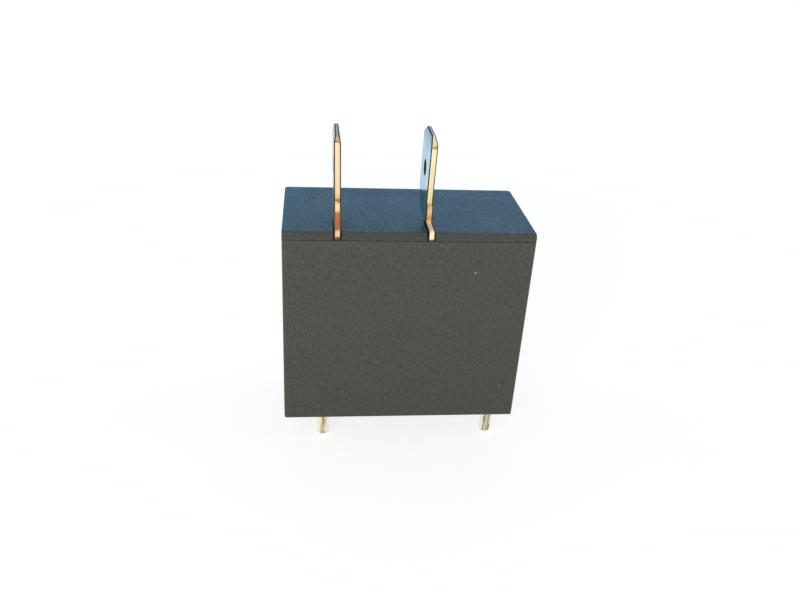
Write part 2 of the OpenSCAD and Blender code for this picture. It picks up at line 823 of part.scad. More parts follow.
case();
header();
fixed_terminal();
common_terminal();
fixed_contact();
moving_contact();
moving_spring();
spring_rivets();
card();
armature();
hinge_spring();
hinge_spring_rivets();
yoke();
core();
bobbin();
winding();
coil_pin_left();
coil_pin_right();
coil_lead_left();
coil_lead_right();
pin_seal_left();
pin_seal_right();
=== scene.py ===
import json
import math

import bmesh
import bpy
from mathutils import Matrix, Vector


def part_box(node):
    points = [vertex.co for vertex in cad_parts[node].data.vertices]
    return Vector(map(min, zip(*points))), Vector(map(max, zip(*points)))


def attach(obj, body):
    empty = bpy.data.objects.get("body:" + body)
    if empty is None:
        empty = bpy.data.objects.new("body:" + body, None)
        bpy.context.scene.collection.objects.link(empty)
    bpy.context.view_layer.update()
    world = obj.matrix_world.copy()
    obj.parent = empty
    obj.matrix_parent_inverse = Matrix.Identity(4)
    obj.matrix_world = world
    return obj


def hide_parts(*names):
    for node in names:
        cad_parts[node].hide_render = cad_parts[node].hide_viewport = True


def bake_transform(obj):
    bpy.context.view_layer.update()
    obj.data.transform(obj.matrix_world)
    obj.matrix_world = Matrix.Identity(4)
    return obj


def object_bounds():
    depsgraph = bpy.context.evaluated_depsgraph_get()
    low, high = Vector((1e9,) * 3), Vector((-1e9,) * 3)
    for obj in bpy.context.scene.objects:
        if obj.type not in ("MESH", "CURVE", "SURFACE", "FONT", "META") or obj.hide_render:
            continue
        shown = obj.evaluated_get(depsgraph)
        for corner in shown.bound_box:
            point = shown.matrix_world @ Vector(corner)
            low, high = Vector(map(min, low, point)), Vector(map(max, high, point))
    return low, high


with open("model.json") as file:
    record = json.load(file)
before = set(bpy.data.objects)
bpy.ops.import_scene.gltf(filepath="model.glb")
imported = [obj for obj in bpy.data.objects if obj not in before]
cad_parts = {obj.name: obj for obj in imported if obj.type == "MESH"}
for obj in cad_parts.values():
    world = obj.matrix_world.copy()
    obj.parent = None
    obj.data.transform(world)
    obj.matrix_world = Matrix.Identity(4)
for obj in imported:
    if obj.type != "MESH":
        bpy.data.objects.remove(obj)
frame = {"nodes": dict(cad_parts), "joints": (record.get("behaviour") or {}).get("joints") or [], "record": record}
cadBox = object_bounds()
scene = bpy.context.scene
mm = 0.001
tiny = 0.01 * mm  # allowance where two places are compared

# Planes of the housing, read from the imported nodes
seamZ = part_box("case")[1].z  # joint line between the case and the header
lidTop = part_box("header")[1].z
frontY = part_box("case")[0].y
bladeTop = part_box("fixed_terminal")[1].z


def linear(hexColour):
    channels = [int(hexColour[i:i + 2], 16) / 255 for i in (1, 3, 5)]
    return [c / 12.92 if c <= 0.04045 else ((c + 0.055) / 1.055) ** 2.4 for c in channels] + [1.0]


def addNode(tree, kind, inputs=None, stops=None, **settings):
    # inputs: socket -> value or (node, output); stops: place -> hex colour of a colour ramp, which
    # already has two elements when it is new
    node = tree.nodes.new(kind)
    for name, value in settings.items():
        setattr(node, name, value)
    for socket, value in (inputs or {}).items():
        if isinstance(value, tuple) and isinstance(value[0], bpy.types.Node):
            tree.links.new(value[0].outputs[value[1]], node.inputs[socket])
        else:
            node.inputs[socket].default_value = value
    for i, (place, hexColour) in enumerate((stops or {}).items()):
        element = node.color_ramp.elements[i] if i < 2 else node.color_ramp.elements.new(place)
        element.position = place
        element.color = linear(hexColour)
    return node


def newMaterial(name, constants):
    # a Principled material; what is the same all over sits on the shader's own sockets
    material = bpy.data.materials.new(name)
    material.use_nodes = True
    tree = material.node_tree
    tree.nodes.clear()
    shader = addNode(tree, "ShaderNodeBsdfPrincipled", constants)
    addNode(tree, "ShaderNodeOutputMaterial", {"Surface": (shader, "BSDF")})
    place = addNode(tree, "ShaderNodeTexCoord")
    return material, tree, shader, (place, "Object")


# Camera, fitted to the housing's edges in the 800 x 600 photograph
cameraFit = {
    "place": (-11.827, -91.338, 62.691),  # mm
    "yaw": 0.12931,  # radians, as are the next two
    "pitch": 0.48973,
    "roll": 0.06306,
    "focalPixels": 778.29,
    "frameWidth": 800,  # pixels
    "sensor": 36.0,  # mm
    "clip": (0.001, 10),  # m
}


def placeCamera(fit):
    data = bpy.data.cameras.new("camera")
    data.sensor_fit = "HORIZONTAL"
    data.sensor_width = fit["sensor"]
    data.lens = fit["sensor"] * fit["focalPixels"] / fit["frameWidth"]
    data.clip_start, data.clip_end = fit["clip"]
    yaw, pitch, roll = fit["yaw"], fit["pitch"], fit["roll"]
    ahead = Vector((math.sin(yaw) * math.cos(pitch), math.cos(yaw) * math.cos(pitch), -math.sin(pitch)))
    level = Vector((math.cos(yaw), -math.sin(yaw), 0))
    rise = level.cross(ahead)
    right = level * math.cos(roll) + rise * math.sin(roll)
    up = rise * math.cos(roll) - level * math.sin(roll)
    turn = Matrix((right, up, -ahead)).transposed()
    camera = bpy.data.objects.new("camera", data)
    camera.matrix_world = Matrix.Translation(Vector(fit["place"]) * mm) @ turn.to_4x4()
    scene.collection.objects.link(camera)
    scene.camera = camera


placeCamera(cameraFit)
print("camera placed")

# Materials
noiseLow, noiseHigh = 0.3, 0.7  # a noise pattern seldom leaves this range


def finishSurface(tree, shader, gloss, relief, rough, depth, strength):
    # roughness from one pattern, and from another a relief that is depth millimetres deep
    spread = addNode(tree, "ShaderNodeMapRange", {
        "Value": (gloss, "Fac"), "From Min": noiseLow, "From Max": noiseHigh,
        "To Min": rough[0], "To Max": rough[1]})
    tree.links.new(spread.outputs["Result"], shader.inputs["Roughness"])
    bump = addNode(tree, "ShaderNodeBump", {
        "Height": (relief, "Fac"), "Distance": depth * mm, "Strength": strength})
    tree.links.new(bump.outputs["Normal"], shader.inputs["Normal"])


def mouldedPlastic(look):
    # Glass-filled polyester or polyamide, injection moulded in a spark-eroded tool: matte, with a fine even
    # grain, faint cloudy flow marks and a soft sheen. The real grain is near 0.1 mm; it is drawn coarser so
    # that it still shows at the render's size.
    material, tree, shader, place = newMaterial(look["name"], {
        "IOR": 1.55, "Specular IOR Level": look["specular"]})
    drawn = addNode(tree, "ShaderNodeMapping", {"Vector": place, "Scale": look["stretch"]})
    grain = addNode(tree, "ShaderNodeTexNoise", {
        "Vector": (drawn, "Vector"), "Scale": 1 / (look["grain"] * mm), "Detail": 3.0, "Roughness": 0.6})
    cloud = addNode(tree, "ShaderNodeTexNoise", {
        "Vector": place, "Scale": 1 / (look["cloud"] * mm), "Detail": 4.0, "Roughness": 0.62,
        "Distortion": 0.6})
    split = addNode(tree, "ShaderNodeSeparateXYZ", {"Vector": place})
    axis, start, end = look["drift"]
    along = addNode(tree, "ShaderNodeMapRange", {
        "Value": (split, axis), "From Min": start * mm, "From Max": end * mm})
    toned = addNode(tree, "ShaderNodeMixRGB", {
        "Fac": (along, "Result"), "Color1": linear(look["startTint"]), "Color2": linear(look["endTint"])})
    cover = addNode(tree, "ShaderNodeMapRange", {
        "Value": (cloud, "Fac"), "From Min": look["cloudFade"][0], "From Max": look["cloudFade"][1],
        "To Max": look["cloudDepth"]})
    clouded = addNode(tree, "ShaderNodeMixRGB", {
        "Fac": (cover, "Result"), "Color1": (toned, "Color"), "Color2": linear(look["cloudTint"])})
    speckle = addNode(tree, "ShaderNodeMapRange", {
        "Value": (grain, "Fac"), "From Min": noiseLow, "From Max": noiseHigh,
        "To Min": 1 - look["speckle"], "To Max": 1 + look["speckle"]})
    speckled = addNode(tree, "ShaderNodeVectorMath", {
        0: (clouded, "Color"), "Scale": (speckle, "Result")}, operation="SCALE")
    paint = (speckled, "Vector")
    for speck in look["dust"]:
        away = addNode(tree, "ShaderNodeVectorMath", {0: place, 1: Vector(speck["at"]) * mm},
                       operation="DISTANCE")
        inside = addNode(tree, "ShaderNodeMapRange", {
            "Value": (away, "Value"), "From Min": speck["core"] * mm, "From Max": speck["radius"] * mm,
            "To Min": speck["cover"], "To Max": 0.0})
        dusted = addNode(tree, "ShaderNodeMixRGB", {
            "Fac": (inside, "Result"), "Color1": paint, "Color2": linear(look["dustTint"])})
        paint = (dusted, "Color")
    tree.links.new(paint[0].outputs[paint[1]], shader.inputs["Base Color"])
    finishSurface(tree, shader, cloud, grain, look["rough"], look["grainDepth"], look["grainStrength"])
    return material


def tinPlate(look):
    # Brass strip tinned before stamping: a cool, bright, nearly mirror-like skin with fine rolling lines
    # along the blade, a painted highlight that whitens it beside the front edge, a painted reflection of a blue
    # sky at a glancing angle, and dull where push-on sockets have rubbed it.
    # the Specular Tint paints a reflection of a blue sky onto the skin at a glancing angle
    material, tree, shader, place = newMaterial(look["name"], {
        "Metallic": 1.0, "Specular Tint": linear(look["paintedSkyGlance"])})
    drawn = addNode(tree, "ShaderNodeMapping", {"Vector": place, "Scale": (1.0, 1.0, look["stretch"])})
    lines = addNode(tree, "ShaderNodeTexNoise", {
        "Vector": (drawn, "Vector"), "Scale": 1 / (look["line"] * mm), "Detail": 3.0, "Roughness": 0.55})
    smear = addNode(tree, "ShaderNodeTexNoise", {
        "Vector": place, "Scale": 1 / (look["smear"] * mm), "Detail": 3.0})
    split = addNode(tree, "ShaderNodeSeparateXYZ", {"Vector": place})
    runStart, runEnd = (frontY + back * mm for back in look["run"])
    # painted highlight: the tin is whiter near the front edge and fades out behind it
    run = addNode(tree, "ShaderNodeMapRange", {
        "Value": (split, "Y"), "From Min": runStart, "From Max": runEnd})
    base = addNode(tree, "ShaderNodeMixRGB", {
        "Fac": (run, "Result"), "Color1": linear(look["white"]), "Color2": linear(look["cool"])})
    amount = addNode(tree, "ShaderNodeMapRange", {
        "Value": (smear, "Fac"), "From Min": look["smearFade"][0], "From Max": look["smearFade"][1],
        "To Max": look["smearDepth"]})
    smeared = addNode(tree, "ShaderNodeMixRGB", {
        "Fac": (amount, "Result"), "Color1": (base, "Color"), "Color2": linear(look["dull"])})
    wearStart, wearEnd = (lidTop + up * mm for up in look["wear"])
    worn = addNode(tree, "ShaderNodeMapRange", {
        "Value": (split, "Z"), "From Min": wearStart, "From Max": wearEnd, "To Max": look["wearDepth"]})
    tipped = addNode(tree, "ShaderNodeMixRGB", {
        "Fac": (worn, "Result"), "Color1": (smeared, "Color"), "Color2": linear(look["worn"])})
    tree.links.new(tipped.outputs["Color"], shader.inputs["Base Color"])
    finishSurface(tree, shader, lines, lines, look["rough"], look["lineDepth"], strength=0.5)
    return material


def shearedBrass(look):
    # Bare brass where the punch cut the strip: pale gold, drawn into fine upright lines, with copper-red and
    # brown heat stains in bands near the foot; among the bands are painted shadow and painted light at the foot
    # and painted shade at the shoulder. The burr beside it has the same bands, darkened into painted shade
    # along the edges.
    material, tree, shader, place = newMaterial(look["name"], {"Metallic": look["metallic"]})
    wobble = addNode(tree, "ShaderNodeTexNoise", {
        "Vector": place, "Scale": 1 / (look["wobble"] * mm), "Detail": 2.0})
    split = addNode(tree, "ShaderNodeSeparateXYZ", {"Vector": place})
    foot = seamZ - look["sunk"] * mm  # the bands start here, inside the header
    height = addNode(tree, "ShaderNodeMapRange", {
        "Value": (split, "Z"), "From Min": foot, "From Max": bladeTop})
    shift = addNode(tree, "ShaderNodeMapRange", {
        "Value": (wobble, "Fac"), "To Min": -look["shift"], "To Max": look["shift"]})
    shifted = addNode(tree, "ShaderNodeMath", {0: (height, "Result"), 1: (shift, "Result")}, operation="ADD")
    bands = addNode(tree, "ShaderNodeValToRGB", {"Fac": (shifted, "Value")}, stops={
        (up + (lidTop - foot) / mm) / ((bladeTop - foot) / mm): tint for up, tint in look["bands"].items()})
    drawn = addNode(tree, "ShaderNodeMapping", {"Vector": place, "Scale": (1.0, 1.0, look["stretch"])})
    lines = addNode(tree, "ShaderNodeTexNoise", {
        "Vector": (drawn, "Vector"), "Scale": 1 / (look["line"] * mm), "Detail": 3.0, "Roughness": 0.6})
    amount = addNode(tree, "ShaderNodeMapRange", {
        "Value": (lines, "Fac"), "From Min": look["lineFade"][0], "From Max": look["lineFade"][1],
        "To Max": look["lineTintDepth"]})
    lined = addNode(tree, "ShaderNodeMixRGB", {
        "Fac": (amount, "Result"), "Color1": (bands, "Color"), "Color2": linear(look["lineTint"])})
    tree.links.new(lined.outputs["Color"], shader.inputs["Base Color"])
    finishSurface(tree, shader, lines, lines, look["rough"], look["lineDepth"], strength=0.7)
    return material


def unevenSkin(look):
    # A surface with an uneven skin, such as oxide, plating, rolling oil or cured resin: two tints in soft
    # patches over a satin surface with fine lines along one axis. Real lines are a few hundredths of a
    # millimetre wide; they are drawn coarser so that they still show.
    material, tree, shader, place = newMaterial(look["name"], {"Metallic": look["metallic"]})
    drawn = addNode(tree, "ShaderNodeMapping", {"Vector": place, "Scale": look["stretch"]})
    patch = addNode(tree, "ShaderNodeTexNoise", {
        "Vector": place, "Scale": 1 / (look["patch"] * mm), "Detail": 4.0, "Roughness": 0.6})
    lines = addNode(tree, "ShaderNodeTexNoise", {
        "Vector": (drawn, "Vector"), "Scale": 1 / (look["line"] * mm), "Detail": 3.0})
    tints = addNode(tree, "ShaderNodeValToRGB", {"Fac": (patch, "Fac")}, stops=look["tints"])
    tree.links.new(tints.outputs["Color"], shader.inputs["Base Color"])
    finishSurface(tree, shader, lines, lines, look["rough"], look["lineDepth"], strength=0.6)
    return material


def dippedSolder(look, low, high):
    # Flat brass pin dipped in solder: the solder thins out over the middle of each face, where warm metal and
    # flux show through in an uneven streak, and towards the edges it turns pale as a painted highlight.
    material, tree, shader, place = newMaterial(look["name"], {"Metallic": look["metallic"]})
    drawn = addNode(tree, "ShaderNodeMapping", {"Vector": place, "Scale": look["stretch"]})
    patch = addNode(tree, "ShaderNodeTexNoise", {
        "Vector": (drawn, "Vector"), "Scale": 1 / (look["patch"] * mm), "Detail": 4.0, "Roughness": 0.6})
    split = addNode(tree, "ShaderNodeSeparateXYZ", {"Vector": place})
    middle = (low.x + high.x) / 2
    offset = addNode(tree, "ShaderNodeMath", {0: (split, "X"), 1: middle}, operation="SUBTRACT")
    aside = addNode(tree, "ShaderNodeMath", {0: (offset, "Value")}, operation="ABSOLUTE")
    share = addNode(tree, "ShaderNodeMapRange", {"Value": (aside, "Value"), "From Max": high.x - middle})
    shift = addNode(tree, "ShaderNodeMapRange", {
        "Value": (patch, "Fac"), "From Min": noiseLow, "From Max": noiseHigh,
        "To Min": -look["shift"], "To Max": look["shift"]})
    spread = addNode(tree, "ShaderNodeMath", {0: (share, "Result"), 1: (shift, "Result")}, operation="ADD")
    tints = addNode(tree, "ShaderNodeValToRGB", {"Fac": (spread, "Value")}, stops=look["tints"])
    tree.links.new(tints.outputs["Color"], shader.inputs["Base Color"])
    finishSurface(tree, shader, patch, patch, look["rough"], look["patchDepth"], strength=0.6)
    return material


# Mesh work shared by the pieces
mergeDistance = 0.001 * mm
flatAngle = math.radians(0.5)  # faces that meet at less than this become one
sharpAngle = math.radians(30)  # edges that are sharper than this can be rounded
facing = 0.9  # share of a normal along an axis from which a face looks that way


def cleanCopy(nodeName):
    # merged copy of a node's triangles, with each flat region made one face
    source = frame["nodes"][nodeName].data
    mesh = bmesh.new()
    corners = [mesh.verts.new(v.co) for v in source.vertices]
    for triangle in source.polygons:
        mesh.faces.new([corners[i] for i in triangle.vertices])
    bmesh.ops.remove_doubles(mesh, verts=mesh.verts, dist=mergeDistance)
    bmesh.ops.dissolve_limit(mesh, angle_limit=flatAngle, verts=mesh.verts, edges=mesh.edges)
    return mesh


def roundEdges(mesh, width, segments, chosen, slot=-1):
    # bevel the sharp edges that are chosen by their middle or by the edge itself
    edges = []
    for edge in mesh.edges:
        if len(edge.link_faces) == 2 and edge.calc_face_angle() > sharpAngle:
            if chosen((edge.verts[0].co + edge.verts[1].co) / 2, edge):
                edges.append(edge)
    bmesh.ops.bevel(mesh, geom=edges, offset=width * mm, offset_type="OFFSET", segments=segments, profile=0.5,
                    affect="EDGES", clamp_overlap=False, material=slot)


def cutAcross(mesh, place, normal):
    # a ring of new edges where the piece is to bend or swell
    bmesh.ops.bisect_plane(mesh, geom=mesh.verts[:] + mesh.edges[:] + mesh.faces[:],
                           dist=mergeDistance / 10, plane_co=place, plane_no=normal)


def lengthAcross(edge):
    return abs(edge.verts[0].co.x - edge.verts[1].co.x)


def makePiece(name, mesh, materials, node, soft=35):
    # creases up to soft degrees are shaded softly
    data = bpy.data.meshes.new(name)
    mesh.to_mesh(data)
    mesh.free()
    for material in materials:
        data.materials.append(material)
    data.shade_smooth()
    data.set_sharp_from_angle(angle=math.radians(soft))
    piece = bpy.data.objects.new(name, data)
    scene.collection.objects.link(piece)
    flat = piece.modifiers.new("flatFaces", "WEIGHTED_NORMAL")
    flat.keep_sharp = True
    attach(piece, "housing")
    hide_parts(node)


# Case
caseLook = {
    "name": "blackPolyesterSparkEroded",
    "drift": ("Z", 0.0, 26.5),  # mm, axis along which the tone drifts from the start tint to the end tint
    "startTint": "#3c433d",
    "endTint": "#454843",
    "cloudTint": "#47423d",
    "cloud": 3.2,  # mm across a flow mark
    "cloudFade": (0.32, 0.68),  # values of the pattern between which a mark fades in
    "cloudDepth": 0.4,
    "grain": 0.17,  # mm
    "stretch": (1.0, 1.0, 0.3),  # the grain is drawn along the mould's opening direction
    "grainDepth": 0.03,
    "grainStrength": 0.7,
    "speckle": 0.4,
    "specular": 0.3,
    "rough": (0.52, 0.62),
    "dustTint": "#c9d3cf",
    "dust": [  # mm; a speck is solid to its core and fades out at its radius
        {"at": (8.08, -7.8, 21.53), "core": 0.056, "radius": 0.14, "cover": 0.7},
        {"at": (12.97, -7.8, 4.98), "core": 0.044, "radius": 0.11, "cover": 0.5},
    ],
    "edge": 0.08,  # mm of rounding along the bottom and the wells
}


def dressCase(look):
    mesh = cleanCopy("case")
    roundEdges(mesh, look["edge"], segments=3, chosen=lambda p, edge: p.z < tiny)
    makePiece("dressedCase", mesh, [mouldedPlastic(look)], "case")


dressCase(caseLook)
print("case dressed")

# Header
headerLook = {
    "sides": dict(caseLook, name="blackPolyesterHeaderEdge", dust=[], drift=("Z", 25.9, 26.4),
                  startTint="#434742", endTint="#3b4543"),
    "top": {  # from a smoother part of the tool: a little glossier than the sides; its teal tint is painted reflection of a blue sky
        "name": "blackPolyesterTopPaintedSkyReflection",
        "drift": ("Y", -7.8, 7.8),
        # startTint, endTint and cloudTint are black plastic painted teal as a painted reflection of a blue sky,
        # bluer towards the back
        "startTint": "#21434c",
        "endTint": "#234759",
        "cloudTint": "#27404f",
        "cloud": 5.0,
        "cloudFade": (0.32, 0.68),
        "cloudDepth": 0.5,
        "grain": 0.17,
        "stretch": (1.0, 0.16, 1.0),
        "grainDepth": 0.02,
        "grainStrength": 0.5,
        "speckle": 0.9,
        "specular": 0.34,
        "rough": (0.34, 0.44),
        "dustTint": "#c9d3cf",
        "dust": [{"at": (-5.29, -7.1, 26.5), "core": 0.064, "radius": 0.16, "cover": 0.7}],
    },
    "rim": 0.08,  # mm of rounding along the lid
    "chamfer": 0.75,  # mm, height of the front chamfer
    "frontReach": 0.05,  # mm behind the front within which an edge lies in the front strip
    "slotEdge": 2.0,  # mm; the blades' slots have only shorter edges along X
    "sideReach": 1.0,  # mm from the two sides within which there is no slot
}


def dressHeader(look):
    mesh = cleanCopy("header")
    low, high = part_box("header")
    chamferLow = lidTop - look["chamfer"] * mm
    slotStart, slotEnd = low.x + look["sideReach"] * mm, high.x - look["sideReach"] * mm

    def onLid(p, edge):
        inStrip = p.y < frontY + look["frontReach"] * mm and p.z < chamferLow + tiny
        atSlot = slotStart < p.x < slotEnd and lengthAcross(edge) <= look["slotEdge"] * mm
        return p.z > seamZ - tiny and not inStrip and not atSlot
    roundEdges(mesh, look["rim"], segments=2, chosen=onLid)
    for face in mesh.faces:
        onTop = face.normal.z > facing and face.calc_center_median().z > seamZ
        face.material_index = 1 if onTop else 0
    materials = [mouldedPlastic(look["sides"]), mouldedPlastic(look["top"])]
    makePiece("dressedHeader", mesh, materials, "header")


dressHeader(headerLook)
print("header dressed")

# Blade terminals
tinSlot, edgeSlot, burrSlot, boreShadeSlot, tipSlot = range(5)  # order of a blade's materials
tinLook = {
    "name": "tinPlatedBrassStrip",
    "cool": "#b3c0c8",
    "white": "#e6eced",
    "dull": "#848f95",
    "paintedSkyGlance": "#daf3ff",  # painted reflection of a blue sky: the skin's tint at a glancing angle
    "run": (0.5, 1.9),  # mm behind the front edge over which the painted highlight fades into the tin
    "worn": "#707a80",
    "wear": (9.3, 11.3),  # mm above the header where push-on sockets dulled the tin
    "wearDepth": 0.9,
    "line": 0.12,  # mm; rolling lines are finer and are drawn as coarse as they need to show
    "stretch": 0.06,
    "lineDepth": 0.004,
    "smear": 2.0,  # mm across a dull smear
    "smearFade": (0.4, 0.75),  # values of the pattern between which a smear fades in
    "smearDepth": 0.35,
    "rough": (0.1, 0.2),
}
bladeLook = {
    "tin": tinLook,
    # the same strip, tarnished: greyer, with softer reflections
    "dullTin": dict(tinLook, name="tarnishedTinPlatedBrassStrip", cool="#939b9f", white="#b4b6b2",
                    dull="#878e92", worn="#8f9699", paintedSkyGlance="#ffffff", rough=(0.2, 0.32)),
    # tin rubbed through along the top edge: warm, because the brass shows
    "tipTin": dict(tinLook, name="tinWornToBrassAtTip", cool="#c0b2a4", white="#c6baad",
                   dull="#aea193", worn="#bcaea0", paintedSkyGlance="#ffffff", rough=(0.2, 0.32)),
    "edge": {
        "metallic": 1.0,
        "line": 0.16,  # mm; shear lines are finer and are drawn as coarse as they need to show
        "stretch": 0.12,
        "lineDepth": 0.015,
        "lineTint": "#dcb272",
        "lineTintDepth": 0.35,
        "lineFade": (0.45, 0.75),  # values of the pattern between which a line fades in
        "wobble": 0.5,  # mm across a wave in the border of a band
        "shift": 0.015,  # share of the blade's height by which a border wanders
        "sunk": 1.0,  # mm below the joint line
        "rough": (0.3, 0.46),
    },
    # the burr: its dark tints are painted shade along the blade's edges
    "burr": {
        "metallic": 0.7,
        "line": 0.2,
        "stretch": 0.2,
        "lineDepth": 0.01,
        "lineTint": "#6e4f30",
        "lineTintDepth": 0.4,
        "lineFade": (0.45, 0.75),
        "wobble": 0.6,
        "shift": 0.02,
        "sunk": 1.0,
        "rough": (0.42, 0.6),
    },
    "fixed": {  # mm above the header -> tint of the cut edge and of its burr: stains, with painted shade among them
        "edge": {
            # -0.9 to -0.42 is painted shadow where the foot goes into the header's slot; 10.92 is a darker line at
            # the shoulder corner
            -1.4: "#d8bc88", -0.9: "#40352b", -0.62: "#2e251d", -0.42: "#93795f", -0.25: "#e2bc98",
            0.3: "#e6c09c", 0.52: "#a06648", 2.5: "#a86a44", 2.95: "#e4cc9c", 3.6: "#e6cfa2",
            3.92: "#7d5929", 4.4: "#d2ae78", 5.2: "#e2cda8", 10.6: "#e2cda6", 10.92: "#a78d68",
            11.05: "#cdb995", 11.5: "#9a9a95"},
        # near black: painted shade along the edges, darkest where the foot enters the slot
        "burr": {
            -1.4: "#8a7450", -0.9: "#1c120b", 0.3: "#5c3c28", 2.4: "#6e4630", 3.4: "#3a2618",
            11.0: "#2c1b10"},
    },
    "common": {
        "edge": {
            # -0.9 and -0.75 are painted shadow where the foot goes into the header's slot, -0.6 and 0.2 are
            # painted light that makes the foot nearly white, and 10.62 is painted shade that damps the highlight
            # at the shoulder corner
            -1.4: "#d8bc88", -0.9: "#5a4d40", -0.75: "#5a4d40", -0.6: "#fff0c2", 0.2: "#fdecbe",
            0.6: "#c4a196", 1.3: "#be9c88", 1.7: "#cfb27a", 2.1: "#b08a55", 2.8: "#dcb986",
            3.4: "#d4ae7c", 3.75: "#b08a50", 4.1: "#dccb9a", 6.0: "#e4d8ac", 10.2: "#ebe2c0",
            10.62: "#94804c", 10.95: "#efe4c2"},
        # near black: painted shade along the edges, darkest where the foot enters the slot
        "burr": {-1.4: "#8a7450", -0.9: "#1c120b", 0.4: "#32200f", 11.0: "#2c1b10"},
    },
    "boreShade": {  # painted shade inside the pierced hole: nearly black, with little gloss
        "name": "piercedBorePaintedShade",
        "metallic": 0.5,
        "tints": {0.35: "#0d0c0c", 0.7: "#241c18"},
        "patch": 0.5,
        "line": 0.15,
        "stretch": (0.2, 1.0, 1.0),
        "lineDepth": 0.01,
        "rough": (0.5, 0.7),
    },
    "sheet": 0.9,  # mm; a face that is wider than the sheet's thickness is no cut edge
    "burrWidth": 0.13,  # mm
    "dentTop": 6.0,  # mm above the header; edges across the sheet below this belong to the dent and the bends
    "holeReach": 1.2,  # radii of the hole within which a face belongs to it
    "soft": 42,  # degrees up to which a crease is shaded softly
    # shares of a face's normal
    "broad": 0.8,  # along X: at least this on a broad face above the joint line
    "fold": 0.05,  # along X: more than this on a fold of the sheet inside
    "upright": 0.3,  # along Z: less than this on an upright face
    "edgeOn": 0.25,  # along X: less than this on the part of a burr that belongs to the cut edge
    "level": 0.95,  # along X: less than this on the hole's rim and wall
}


def dressBlade(node, name, tin, stainsAndShade, look, boreShade, tip):
    mesh = cleanCopy(node)
    hole = next(m for m in frame["record"]["mounts"] if m["name"] == node.replace("terminal", "blade_hole"))
    holeY, holeZ = hole["pos_m"][1:]
    holeReach = look["holeReach"] * hole["dims"]["r_mm"] * mm
    dentTop = lidTop + look["dentTop"] * mm
    for face in mesh.faces:
        across, up = abs(face.normal.x), face.normal.z
        places = [v.co for v in face.verts]
        wide = max(p.x for p in places) - min(p.x for p in places) > look["sheet"] * mm
        if max(p.z for p in places) < seamZ:  # inside, the sheet is folded about upright lines
            folded = abs(up) < look["upright"] and (wide or across > look["fold"])
            face.material_index = tinSlot if folded else edgeSlot
        elif across > look["broad"]:
            face.material_index = tinSlot
        else:
            face.material_index = tipSlot if up > facing else edgeSlot

    def sheared(p, edge):
        overSheet = lengthAcross(edge) > facing * edge.calc_length()
        return p.z > seamZ and not (overSheet and lidTop < p.z < dentTop)
    roundEdges(mesh, look["burrWidth"], segments=2, chosen=sheared, slot=burrSlot)
    for face in mesh.faces:  # the burr runs along the broad faces only
        middle, across = face.calc_center_median(), abs(face.normal.x)
        if face.material_index == burrSlot and across < look["edgeOn"]:
            face.material_index = edgeSlot
        # the hole's rim and wall take the painted shade
        if math.hypot(middle.y - holeY, middle.z - holeZ) < holeReach and across < look["level"]:
            face.material_index = boreShadeSlot
    edge = dict(look["edge"], name="shearedBrassEdge_" + node, bands=stainsAndShade["edge"])
    # the burr's near-black bands are painted shade along the edges
    burr = dict(look["burr"], name="shearBurrPaintedShade_" + node, bands=stainsAndShade["burr"])
    materials = [tinPlate(tin), shearedBrass(edge), shearedBrass(burr), boreShade, tip]
    makePiece(name, mesh, materials, node, look["soft"])


bladeBoreShade = unevenSkin(bladeLook["boreShade"])
bladeTip = tinPlate(bladeLook["tipTin"])
dressBlade("fixed_terminal", "dressedFixedBlade", bladeLook["dullTin"], bladeLook["fixed"], bladeLook,
           bladeBoreShade, bladeTip)
dressBlade("common_terminal", "dressedCommonBlade", bladeLook["tin"], bladeLook["common"], bladeLook,
           bladeBoreShade, bladeTip)
print("blades dressed")

# Coil pins
dipLook = {
    "metallic": 0.9,
    "patch": 0.5,
    "stretch": (1.0, 1.0, 0.35),
    "shift": 0.34,  # share of half the face's width by which the tints wander
    "patchDepth": 0.03,
    "rough": (0.3, 0.5),
}
pinLook = {
    # tints from the middle of a face out to its edges; the pale outer stops are painted highlight
    "left": dict(dipLook, name="solderDippedPinPale",
                 tints={0.0: "#9c885e", 0.14: "#c2af84", 0.48: "#d6c9a6", 0.8: "#f2ecda"}),
    "right": dict(dipLook, name="solderDippedPinOlive",
                  tints={0.0: "#c6c69c", 0.3: "#b4b48a", 0.55: "#7f7f5a", 0.78: "#e6e6da"}),
    "bead": {  # the rounded edges of the solder coat, painted pale and bright as a highlight, a little wavy
        "name": "solderBeadPaintedHighlight",
        "metallic": 0.9,
        "tints": {0.3: "#f8f7f2", 0.7: "#ebe9de"},
        "patch": 0.6,
        "line": 0.25,
        "stretch": (1.0, 1.0, 0.35),
        "lineDepth": 0.02,
        "rough": (0.22, 0.36),
    },
    "rounding": 0.2,  # mm
    "coat": (0.11, 0.04),  # mm of solder on the sides and on the faces
    "coatStart": 0.1,  # mm below the case, where the coat begins
    "coatFull": 0.45,  # mm below the case, where it is full
}


def dressPin(side, look, bead):
    node = "coil_pin_" + side
    mesh = cleanCopy(node)
    low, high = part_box(node)
    beadSlot = 1  # after the material of the faces
    # the rounded edges take the painted highlight
    roundEdges(mesh, look["rounding"], segments=3, slot=beadSlot,
               chosen=lambda p, edge: min(v.co.z for v in edge.verts) < -tiny)
    for depth in (look["coatStart"], look["coatFull"]):
        cutAcross(mesh, (0, 0, -depth * mm), (0, 0, 1))
    for axis, coat in enumerate(look["coat"]):
        middle, half = (low[axis] + high[axis]) / 2, (high[axis] - low[axis]) / 2
        for v in mesh.verts:
            if v.co.z < tiny - look["coatFull"] * mm:
                v.co[axis] = middle + (v.co[axis] - middle) * (1 + coat * mm / half)
    makePiece("dressedPin_" + side, mesh, [dippedSolder(look[side], low, high), bead], node)


pinBeadHighlight = unevenSkin(pinLook["bead"])
for side in ("left", "right"):
    dressPin(side, pinLook, pinBeadHighlight)
print("pins dressed")

